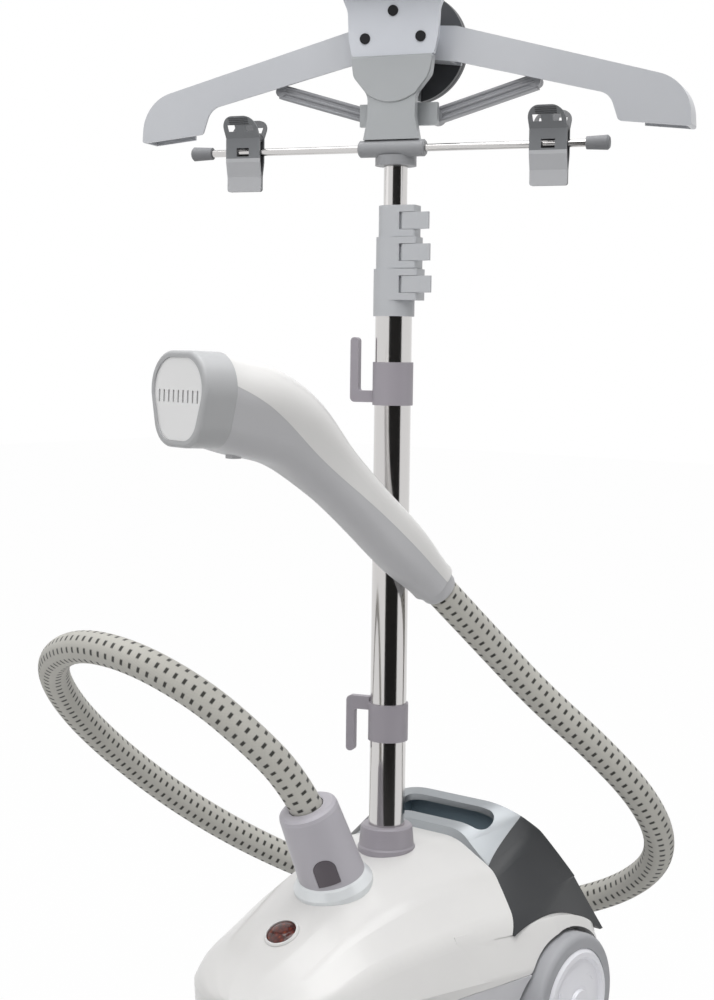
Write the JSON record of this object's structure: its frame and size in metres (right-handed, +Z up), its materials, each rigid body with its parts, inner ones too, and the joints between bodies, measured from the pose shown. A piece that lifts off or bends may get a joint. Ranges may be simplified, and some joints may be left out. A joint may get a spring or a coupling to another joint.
{
  "type": "garment steamer",
  "caption": "Upright garment steamer: wheeled base with lift-off water tank, telescopic pole with folding hanger and trouser clips, and a handset on a woven steam hose.",
  "frame": {"origin": "on the floor straight under the axis of the pole", "axes": "+Z up along the pole, -Y towards the nose of the base, +X to the right of the nose seen from behind the handle"},
  "size_m": [0.5348, 0.5302, 0.9027],
  "materials": {
    "white_plastic": "glossy pearl white",
    "grey_plastic": "satin mid grey",
    "collar_plastic": "satin light grey",
    "socket_plastic": "satin mauve grey",
    "connector_plastic": "satin lavender grey",
    "silver_plastic": "silver painted plastic",
    "dark_plastic": "satin charcoal",
    "smoked_plastic": "smoked translucent plastic",
    "lens_red": "red translucent lens",
    "rubber_dark": "soft rubber",
    "tyre_grey": "grey moulded rubber",
    "steel_polished": "polished steel",
    "steel_plain": "plain steel",
    "cast_alloy": "cast alloy",
    "plate_metal": "satin metal plate",
    "hose_weave": "woven sleeve with dark flecks",
    "silicone": "soft silicone tube"
  },
  "bodies": {
    "base": {"lower_shell": "grey_plastic", "upper_cover": "white_plastic", "pole_socket": "socket_plastic", "hose_socket_ring": "silver_plastic", "hose_connector": "connector_plastic", "power_bezel": "white_plastic", "switch_body": "dark_plastic", "boiler": "cast_alloy", "heating_element": "steel_plain", "boiler_tubes": "silicone", "valve_seat": "grey_plastic", "cord_gland": "rubber_dark", "front_feet": "rubber_dark", "wheel_axle": "steel_plain", "lower_tube": "steel_polished", "lower_collar": "collar_plastic", "steam_hose": "hose_weave", "handset_upper_shell": "white_plastic", "handset_lower_shell": "grey_plastic", "handset_bezel": "collar_plastic", "steam_plate": "plate_metal", "handset_pipe": "silicone", "hose_ferrule": "dark_plastic"},
    "power_button": {"power_button": "lens_red"},
    "connector_release": {"connector_release": "dark_plastic"},
    "handset_latch": {"handset_latch": "grey_plastic"},
    "tank": {"water_tank": "smoked_plastic", "tank_handle": "silver_plastic", "tank_valve": "dark_plastic"},
    "left_wheel": {"left_tyre": "tyre_grey", "left_hub": "white_plastic"},
    "right_wheel": {"right_tyre": "tyre_grey", "right_hub": "white_plastic"},
    "upper_hook": {"upper_hook": "socket_plastic"},
    "lower_hook": {"lower_hook": "socket_plastic"},
    "lower_lever": {"lower_lever": "collar_plastic"},
    "middle_lever": {"middle_lever": "collar_plastic"},
    "upper_lever": {"upper_lever": "collar_plastic"},
    "second_section": {"second_tube": "steel_polished", "middle_collar": "collar_plastic"},
    "third_section": {"third_tube": "steel_polished", "upper_collar": "collar_plastic"},
    "hanger": {"top_tube": "steel_polished", "hanger_front_plate": "silver_plastic", "hanger_neck": "silver_plastic", "hanger_rear_housing": "dark_plastic", "bar_clamp": "dark_plastic", "trouser_bar": "steel_polished", "bar_caps": "dark_plastic", "head_screws": "steel_plain"},
    "left_arm": {"left_hanger_arm": "silver_plastic"},
    "right_arm": {"right_hanger_arm": "silver_plastic"},
    "left_strut": {"left_hanger_strut": "silver_plastic"},
    "right_strut": {"right_hanger_strut": "silver_plastic"},
    "left_clip": {"left_clip_rear_jaw": "dark_plastic", "left_clip_spring": "steel_plain"},
    "right_clip": {"right_clip_rear_jaw": "dark_plastic", "right_clip_spring": "steel_plain"},
    "left_jaw": {"left_clip_front_jaw": "dark_plastic"},
    "right_jaw": {"right_clip_front_jaw": "dark_plastic"}
  },
  "joints": [
    {"name": "second_section_slide", "type": "slide", "parent": "base", "child": "second_section", "axis": [0, 0, 1], "range_m": [0, 0.25]},
    {"name": "third_section_slide", "type": "slide", "parent": "second_section", "child": "third_section", "axis": [0, 0, 1], "range_m": [0, 0.25]},
    {"name": "hanger_slide", "type": "slide", "parent": "third_section", "child": "hanger", "axis": [0, 0, 1], "range_m": [0, 0.25]},
    {"name": "lower_lever_flip", "type": "hinge", "parent": "base", "child": "lower_lever", "pos_m": [0.01696, -0.00812, 0.6472], "axis": [0, 0, -1], "range_deg": [0, 90]},
    {"name": "middle_lever_flip", "type": "hinge", "parent": "second_section", "child": "middle_lever", "pos_m": [0.01564, -0.00667, 0.6727], "axis": [0, 0, -1], "range_deg": [0, 90]},
    {"name": "upper_lever_flip", "type": "hinge", "parent": "third_section", "child": "upper_lever", "pos_m": [0.01427, -0.00524, 0.698], "axis": [0, 0, -1], "range_deg": [0, 90]},
    {"name": "right_arm_fold", "type": "hinge", "parent": "hanger", "child": "right_arm", "pos_m": [0.01431, 0.03031, 0.8425], "axis": [-0.3256, 0.9455, 0], "range_deg": [0, 50]},
    {"name": "right_strut_fold", "type": "hinge", "parent": "hanger", "child": "right_strut", "pos_m": [0.01677, 0.03116, 0.784], "axis": [-0.3256, 0.9455, 0], "range_deg": [0, 68]},
    {"name": "left_arm_fold", "type": "hinge", "parent": "hanger", "child": "left_arm", "pos_m": [-0.02994, 0.01507, 0.8425], "axis": [0.3256, -0.9455, 0], "range_deg": [0, 50]},
    {"name": "left_strut_fold", "type": "hinge", "parent": "hanger", "child": "left_strut", "pos_m": [-0.0324, 0.01423, 0.784], "axis": [0.3256, -0.9455, 0], "range_deg": [0, 68]},
    {"name": "upper_hook_swivel", "type": "hinge", "parent": "base", "child": "upper_hook", "pos_m": [0, 0, 0.567], "axis": [0, 0, 1], "range_deg": [-90, 90]},
    {"name": "lower_hook_swivel", "type": "hinge", "parent": "base", "child": "lower_hook", "pos_m": [0, 0, 0.287], "axis": [0, 0, 1], "range_deg": [-90, 90]},
    {"name": "right_clip_slide", "type": "slide", "parent": "hanger", "child": "right_clip", "axis": [0.9455, 0.3256, 0], "range_m": [-0.08, 0.013]},
    {"name": "right_clip_grip", "type": "hinge", "parent": "right_clip", "child": "right_jaw", "pos_m": [0.1249, 0.03349, 0.767], "axis": [-0.9455, -0.3256, 0], "range_deg": [0, 18], "stiffness_Nm_per_rad": 0.4, "springref_deg": -11.46},
    {"name": "left_clip_slide", "type": "slide", "parent": "hanger", "child": "left_clip", "axis": [-0.9455, -0.3256, 0], "range_m": [-0.08, 0.013]},
    {"name": "left_clip_grip", "type": "hinge", "parent": "left_clip", "child": "left_jaw", "pos_m": [-0.11904, -0.05051, 0.767], "axis": [-0.9455, -0.3256, 0], "range_deg": [0, 18], "stiffness_Nm_per_rad": 0.4, "springref_deg": -11.46},
    {"name": "tank_lift", "type": "slide", "parent": "base", "child": "tank", "axis": [0, 0.5269, 0.8499], "range_m": [0, 0.08]},
    {"name": "power_button_press", "type": "slide", "parent": "base", "child": "power_button", "axis": [0, 0.4743, -0.8804], "range_m": [0, 0.0025], "stiffness_N_per_m": 600, "springref_m": -0.002},
    {"name": "connector_release_press", "type": "slide", "parent": "base", "child": "connector_release", "axis": [-0.6391, 0.7367, 0.2209], "range_m": [0, 0.002], "stiffness_N_per_m": 600, "springref_m": -0.002},
    {"name": "handset_latch_press", "type": "slide", "parent": "base", "child": "handset_latch", "axis": [0, 0, 1], "range_m": [0, 0.002], "stiffness_N_per_m": 400, "springref_m": -0.002},
    {"name": "right_wheel_roll", "type": "hinge", "parent": "base", "child": "right_wheel", "pos_m": [0.128, 0.08, 0.057], "axis": [1, 0, 0], "continuous": true},
    {"name": "left_wheel_roll", "type": "hinge", "parent": "base", "child": "left_wheel", "pos_m": [-0.128, 0.08, 0.057], "axis": [1, 0, 0], "continuous": true}
  ],
  "couplings": [
    {"joint": "right_strut_fold", "follows": "right_arm_fold", "ratio": 1.35},
    {"joint": "left_strut_fold", "follows": "left_arm_fold", "ratio": 1.35}
  ]
}
